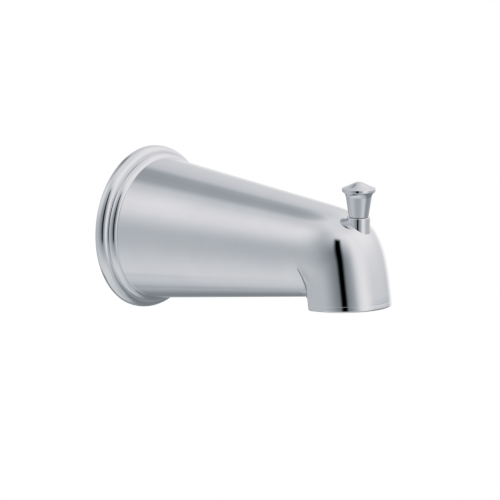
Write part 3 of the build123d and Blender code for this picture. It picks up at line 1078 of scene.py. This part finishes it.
@dataclass
class Diverter:
    """What lifts: flared knob, rod, plastic gate, and the rubber washer riveted to the gate."""

    waterway: Waterway
    fit: float = 0.05
    rod_radius: float = 1.75
    rod_round: float = 0.3
    rod_columns: int = 64
    # Knob, with the directions, across and up, in which its flare ends and its crown starts, and the place of
    # the crown's middle point as shares of the rim's radius and of the crown's height.
    knob_bore: float = 10.0
    bore_round: float = 0.2
    base_radius: float = 4.5
    base_round: float = 0.4
    neck_radius: float = 5.9
    neck_height: float = 9.0
    rim_radius: float = 7.7
    rim_height: float = 11.7
    rim_edge: float = 1.5
    rim_round: float = 0.5
    knob_height: float = 16.1
    flare_end: tuple[float, float] = (1.0, 0.25)
    crown_start: tuple[float, float] = (-1.0, 0.3)
    crown_middle: tuple[float, float] = (0.5, 0.55)
    knob_columns: int = 160
    curve_steps: int = 60
    # Gate and its hub round the rod.
    gate_half_width: float = 10.0
    gate_half_height: float = 7.5
    gate_thickness: float = 4.5
    gate_corner: float = 1.2
    gate_edge: float = 0.35
    hub_radius: float = 3.6
    hub_floor: float = 1.5
    hub_round: float = 0.5
    hub_edge: float = 0.4
    # Washer in the gate's recess, and the rivet through both.
    recess_radius: float = 7.05
    recess_depth: float = 1.5
    washer_radius: float = 7.0
    washer_round: float = 0.35
    well_round: float = 0.15
    hole_round: float = 0.1
    rivet_radius: float = 1.3
    rivet_head: float = 2.6
    rivet_head_depth: float = 0.8
    rivet_head_gap: float = 0.2
    rivet_tail: float = 2.1
    rivet_round: float = 0.4
    rivet_edge: float = 0.15

    def __post_init__(self) -> None:
        """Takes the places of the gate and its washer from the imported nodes."""
        self.axis = (0, -self.waterway.rod_out, 0)
        self.gate_up = heights("gate")[0] + self.gate_half_height
        self.gate_back = outs("gate")[0]
        self.gate_front = self.gate_back + self.gate_thickness
        self.centre = (0, 0, self.gate_up)

    def knob_profile(self) -> np.ndarray:
        """Half section of the knob, from the end of its bore round the outside to the top.

        The flare is a cubic curve whose end handles are a third of its chord. The crown is a cubic spline
        through three points with both end directions given, and one curvature at the middle point.

        Returns:
            (radius, height) rows, heights from the knob's foot.
        """
        share = np.linspace(0, 1, self.curve_steps)[:, None]
        hole = self.rod_radius + self.fit
        base = rounded([
            (0, self.knob_bore, 0), (hole, self.knob_bore, 0), (hole, 0, self.bore_round),
            (self.base_radius, 0, self.base_round), (self.neck_radius, self.neck_height, 0),
        ], closed=False)
        neck = np.array([self.neck_radius, self.neck_height])
        rim = np.array([self.rim_radius, self.rim_height])
        chord = np.linalg.norm(rim - neck)
        leave = np.array([self.neck_radius - self.base_radius, self.neck_height])
        arrive = np.array(self.flare_end)
        first = neck + leave / np.linalg.norm(leave) * chord / 3
        second = rim - arrive / np.linalg.norm(arrive) * chord / 3
        flare = ((1 - share) ** 3 * neck + 3 * share * (1 - share) ** 2 * first
                 + 3 * share**2 * (1 - share) * second + share**3 * rim)
        edge = rim + (0, self.rim_edge)
        top = np.array([0, self.knob_height])
        along, rise = self.crown_middle
        mid = np.array([along * self.rim_radius, rise * self.knob_height + (1 - rise) * edge[1]])
        spans = np.linalg.norm(mid - edge), np.linalg.norm(top - mid)
        start, end = np.array(self.crown_start) / np.linalg.norm(self.crown_start), np.array([-1, 0])
        slope = (3 * (mid - edge) / spans[0]**2 + 3 * (top - mid) / spans[1]**2
                 - start / spans[0] - end / spans[1]) / (2 / spans[0] + 2 / spans[1])
        ends = ((edge, mid, start, slope, spans[0]), (mid, top, slope, end, spans[1]))
        crown = np.concatenate([
            (1 + 2 * share) * (1 - share) ** 2 * a + share**2 * (3 - 2 * share) * b
            + span * (share * (1 - share) ** 2 * da - share**2 * (1 - share) * db)
            for a, b, da, db, span in ends
        ])
        flare = flare[np.linalg.norm(flare - rim, axis=1) > 2 * self.rim_round]
        crown = crown[np.linalg.norm(crown - edge, axis=1) > 2 * self.rim_round]
        band = rounded([(*flare[-1], 0), (*rim, self.rim_round), (*edge, self.rim_round), (*crown[0], 0)],
                       closed=False)
        return np.concatenate([base, flare[1:-1], band, crown[1:]])

    def gate_mesh(self) -> bpy.types.Mesh:
        """Moulded gate: rounded plate and hub, less the washer's recess, the rivet's hole and the rod's bore.

        Returns:
            The mesh.
        """
        plate = slab(self.gate_half_width, self.gate_half_height, self.gate_back, self.gate_front, Way.OUT,
                     self.centre, self.gate_corner, self.gate_edge)
        rod_foot, head = heights("lift_rod")[0], heights("gate")[1]
        hub_foot = rod_foot - self.hub_floor
        hub = rounded([(0, hub_foot, 0), (self.hub_radius, hub_foot, self.hub_round),
                       (self.hub_radius, head, self.hub_edge), (0, head, 0)], closed=False)
        recess_floor = self.gate_back + self.recess_depth
        cut = self.waterway.cylinder
        back, front = self.gate_back - OVERRUN, self.gate_front + OVERRUN
        return combined(mesh_of("valve_gate", plate), [
            (Cut.JOIN, turned("hub", hub, Way.UP, self.axis)),
            (Cut.TAKE, cut(self.recess_radius, back, recess_floor, Way.OUT, self.gate_up)),
            (Cut.TAKE, cut(self.rivet_radius + self.fit, back, front, Way.OUT, self.gate_up)),
            (Cut.TAKE, cut(self.rod_radius + self.fit, rod_foot, head + OVERRUN, Way.UP)),
        ])

    def washer_profile(self) -> np.ndarray:
        """Section of the washer, with a step that takes the rivet's head.

        Returns:
            (radius, out) rows.
        """
        face, back = outs("gate_washer")
        step = face + self.rivet_head_depth + self.rivet_head_gap
        hole, well = self.rivet_radius + self.fit, self.rivet_head + self.fit
        return rounded([
            (well, face, self.well_round), (self.washer_radius, face, self.washer_round),
            (self.washer_radius, back, self.washer_round), (hole, back, self.hole_round),
            (hole, step, self.hole_round), (well, step, self.hole_round),
        ])

    def rivet_profile(self) -> np.ndarray:
        """Half section of the rivet: low head, shank, and tail clenched over the gate.

        Returns:
            (radius, out) rows.
        """
        face, end = outs("washer_rivet")
        under = face + self.rivet_head_depth
        return rounded([
            (0, face, 0), (self.rivet_head, face, self.rivet_round),
            (self.rivet_head, under, self.rivet_edge), (self.rivet_radius, under, 0),
            (self.rivet_radius, self.gate_front, 0),
            (self.rivet_tail, self.gate_front, self.rivet_edge), (self.rivet_tail, end, self.rivet_round),
            (0, end, 0),
        ], closed=False)

    def dress(self) -> None:
        """Builds the five moving pieces."""
        foot = (0, self.axis[1], heights("knob")[0])
        knob = turned("diverter_knob", self.knob_profile(), Way.UP, foot, self.knob_columns)
        piece("diverter_knob", knob, Body.DIVERTER, Slot.CHROME, "knob", POLISHED_CHROME)
        low, high = heights("lift_rod")
        section = rounded([(0, low, 0), (self.rod_radius, low, self.rod_round),
                           (self.rod_radius, high, self.rod_round), (0, high, 0)], closed=False)
        rod = turned("lifting_rod", section, Way.UP, self.axis, self.rod_columns)
        piece("lifting_rod", rod, Body.DIVERTER, Slot.STEEL, "lift_rod", GROUND_STEEL)
        piece("valve_gate", self.gate_mesh(), Body.DIVERTER, Slot.ACETAL, "gate", MOULDED_ACETAL)
        washer = turned("valve_washer", self.washer_profile(), Way.OUT, self.centre, closed=True)
        piece("valve_washer", washer, Body.DIVERTER, Slot.RUBBER, "gate_washer", NITRILE)
        rivet = turned("valve_rivet", self.rivet_profile(), Way.OUT, self.centre, self.rod_columns)
        piece("valve_rivet", rivet, Body.DIVERTER, Slot.BRASS, "washer_rivet", TURNED_BRASS)


# The studio


@dataclass(frozen=True)
class Panel:
    """A card or a gap of the studio, seen from the object. Angles are degrees.

    Attributes:
        name: what it is.
        heading: where its middle stands, turned from the spout's front towards +X.
        height: elevation of its middle.
        half_width: half its width.
        half_height: half its height.
        edge: half the width of its soft edge.
        level: how bright it is, 1 for white.
    """

    name: str
    heading: float
    height: float
    half_width: float
    half_height: float
    edge: float
    level: float


@dataclass
class Studio:
    """Plain floor, soft surroundings and the camera of the photograph."""

    # Camera: what it looks at, how far off it stands, its direction in degrees, and its lens.
    focus: Triple = (0.0, -62.0, -4.72)
    distance: float = 2436.0
    heading: float = -50.4
    height: float = 9.95
    lens: float = 379.87
    far_clip: float = 20000.0
    # Floor, and the share of plain white that the camera sees on it.
    floor_up: float = -420.0
    floor_radius: float = 1300.0
    floor_rings: int = 12
    floor_tone: str = "#F4F4F2"
    floor_rough: float = 0.9
    floor_white: float = 0.6
    # Room: its level where no panel stands, the tints of its dark and its bright parts, and its panels.
    room_level: float = 0.61
    cool: tuple[float, float, float, float] = (0.84, 0.97, 1.05, 1.0)
    neutral: tuple[float, float, float, float] = (1.045, 0.995, 0.99, 1.0)
    panels: tuple[Panel, ...] = (
        Panel("right side of the room", 24.4, 46.9, 101.6, 40.7, 37.8, 1.0),
        Panel("pale floor to the left", -121.6, -58.4, 96.5, 26.2, 26.2, 0.79),
        Panel("gap under the wall", 104.8, -33.6, 85.7, 18.0, 18.0, 0.27),
        Panel("left softbox", -130.4, 37.2, 21.4, 20.6, 17.8, 0.92),
        Panel("shade over the wall", 158.5, 46.8, 10.3, 8.7, 8.6, 0.28),
        Panel("dark strip over the wall", 175.1, 73.4, 19.3, 16.8, 13.2, 0.15),
        Panel("ceiling", 0.0, 80.3, 200.0, 15.9, 13.4, 0.86),
        Panel("shade round the camera", -63.6, 7.3, 31.8, 32.5, 27.7, 0.24),
        Panel("gap beside the camera", -62.0, 16.0, 8.4, 33.0, 4.8, 0.0),
        Panel("front softbox", -4.8, 19.3, 15.8, 42.6, 15.8, 0.96),
        Panel("white backdrop", 111.3, -1.8, 18.7, 12.5, 12.2, 1.0),
        # Painted shade: the pale floor in shadow to the right, shown in reflections as a dark patch of the
        # surroundings.
        Panel("shaded floor to the right", 76.0, -52.0, 44.0, 15.0, 9.0, 0.27),
        Panel("shadow on the floor", -178.3, -36.1, 24.8, 17.9, 6.1, 0.3),
    )

    def camera(self) -> None:
        """Sets the camera on its heading and height round the focus, looking at it."""
        turn, rise = np.radians(self.heading), np.radians(self.height)
        away = Vector((np.sin(turn) * np.cos(rise), -np.cos(turn) * np.cos(rise), np.sin(rise)))
        data = bpy.data.cameras.new("camera")
        data.lens, data.clip_end = self.lens, self.far_clip * MM
        made = linked("camera", data)
        made.location = (Vector(self.focus) + away * self.distance) * MM
        made.rotation_euler = (-away).to_track_quat("-Z", "Y").to_euler()
        bpy.context.scene.camera = made

    def world(self) -> None:
        """Paints the surroundings by direction: each panel is laid over the last, white to the camera.

        A panel's mask is the product of two smooth steps, of the heading's and of the elevation's distance
        from its middle. The tint passes from cool to neutral with the level.
        """
        world = bpy.data.worlds.new("studio")
        bpy.context.scene.world = world
        world.use_nodes = True
        tree = world.node_tree
        way = add(tree, "ShaderNodeSeparateXYZ", {0: add(tree, "ShaderNodeTexCoord").outputs["Generated"]})
        front = add(tree, "ShaderNodeMath", {0: way.outputs["Y"], 1: -1.0}, operation="MULTIPLY")
        heading = add(tree, "ShaderNodeMath", {0: way.outputs["X"], 1: front.outputs[0]}, operation="ARCTAN2")
        height = add(tree, "ShaderNodeMath", {0: way.outputs["Z"]}, operation="ARCSINE")
        level = add(tree, "ShaderNodeValue").outputs[0]
        level.default_value = self.room_level
        for panel in self.panels:
            masks = []
            for angle, middle, half in ((heading, panel.heading, panel.half_width),
                                        (height, panel.height, panel.half_height)):
                apart = add(tree, "ShaderNodeMath", {0: angle.outputs[0], 1: np.radians(middle)},
                            operation="SUBTRACT")
                near = add(tree, "ShaderNodeMath", {0: apart.outputs[0], 1: np.pi, 2: -np.pi},
                           operation="WRAP")
                size = add(tree, "ShaderNodeMath", {0: near.outputs[0]}, operation="ABSOLUTE")
                masks.append(add(tree, "ShaderNodeMapRange", {
                    "Value": size.outputs[0], "From Min": np.radians(half - panel.edge),
                    "From Max": np.radians(half + panel.edge), "To Min": 1.0, "To Max": 0.0,
                }, interpolation_type="SMOOTHSTEP").outputs[0])
            mask = add(tree, "ShaderNodeMath", {0: masks[0], 1: masks[1]}, operation="MULTIPLY")
            level = add(tree, "ShaderNodeMix", {
                FACTOR: mask.outputs[0], VALUE_A: level, VALUE_B: panel.level}).outputs[0]
        tint = add(tree, "ShaderNodeMix", {
            FACTOR: level, COLOUR_A: self.cool, COLOUR_B: self.neutral}, data_type="RGBA")
        seen = add(tree, "ShaderNodeLightPath").outputs["Is Camera Ray"]
        colour = add(tree, "ShaderNodeMix", {
            FACTOR: seen, COLOUR_A: tint.outputs[MIXED_COLOUR], COLOUR_B: WHITE}, data_type="RGBA")
        strength = add(tree, "ShaderNodeMix", {FACTOR: seen, VALUE_A: level, VALUE_B: 1.0})
        background = tree.nodes["Background"].inputs
        tree.links.new(colour.outputs[MIXED_COLOUR], background["Color"])
        tree.links.new(strength.outputs[0], background["Strength"])

    def floor(self) -> None:
        """Round pale floor well below the spout, mostly white to the camera and unseen in reflections."""
        radii = np.linspace(0, self.floor_radius, self.floor_rings)
        profile = np.stack([radii, 0 * radii + self.floor_up], axis=1)
        mesh = turned("floor", profile, Way.UP, (0, self.focus[1], 0))
        made = linked("floor", mesh)
        material = bpy.data.materials.new("matt floor")
        material.use_nodes = True
        mesh.materials.append(material)
        tree = material.node_tree
        shader = tree.nodes["Principled BSDF"]
        shader.inputs["Base Color"].default_value = linear(self.floor_tone)
        shader.inputs["Roughness"].default_value = self.floor_rough
        seen = add(tree, "ShaderNodeLightPath").outputs["Is Camera Ray"]
        share = add(tree, "ShaderNodeMath", {0: seen, 1: self.floor_white}, operation="MULTIPLY")
        white = add(tree, "ShaderNodeEmission", {"Color": WHITE, "Strength": 1.0})
        mixed = add(tree, "ShaderNodeMixShader", {
            FACTOR: share.outputs[0], 1: shader.outputs[0], 2: white.outputs[0]})
        tree.links.new(mixed.outputs[0], tree.nodes["Material Output"].inputs["Surface"])
        made.visible_glossy = False

    def build(self) -> None:
        """Builds the floor, the surroundings and the camera."""
        self.floor()
        self.world()
        self.camera()
        bpy.context.scene.view_settings.view_transform = "Standard"


def main() -> None:
    """Builds the object and its studio."""
    logging.basicConfig(level=logging.INFO, format="%(name)s: %(message)s")
    waterway = Waterway(SpoutBody())
    waterway.dress()
    Inlet().dress()
    StemSeal(waterway.rod_out).dress()
    Diverter(waterway).dress()
    Studio().build()


if __name__ == "__main__":
    main()
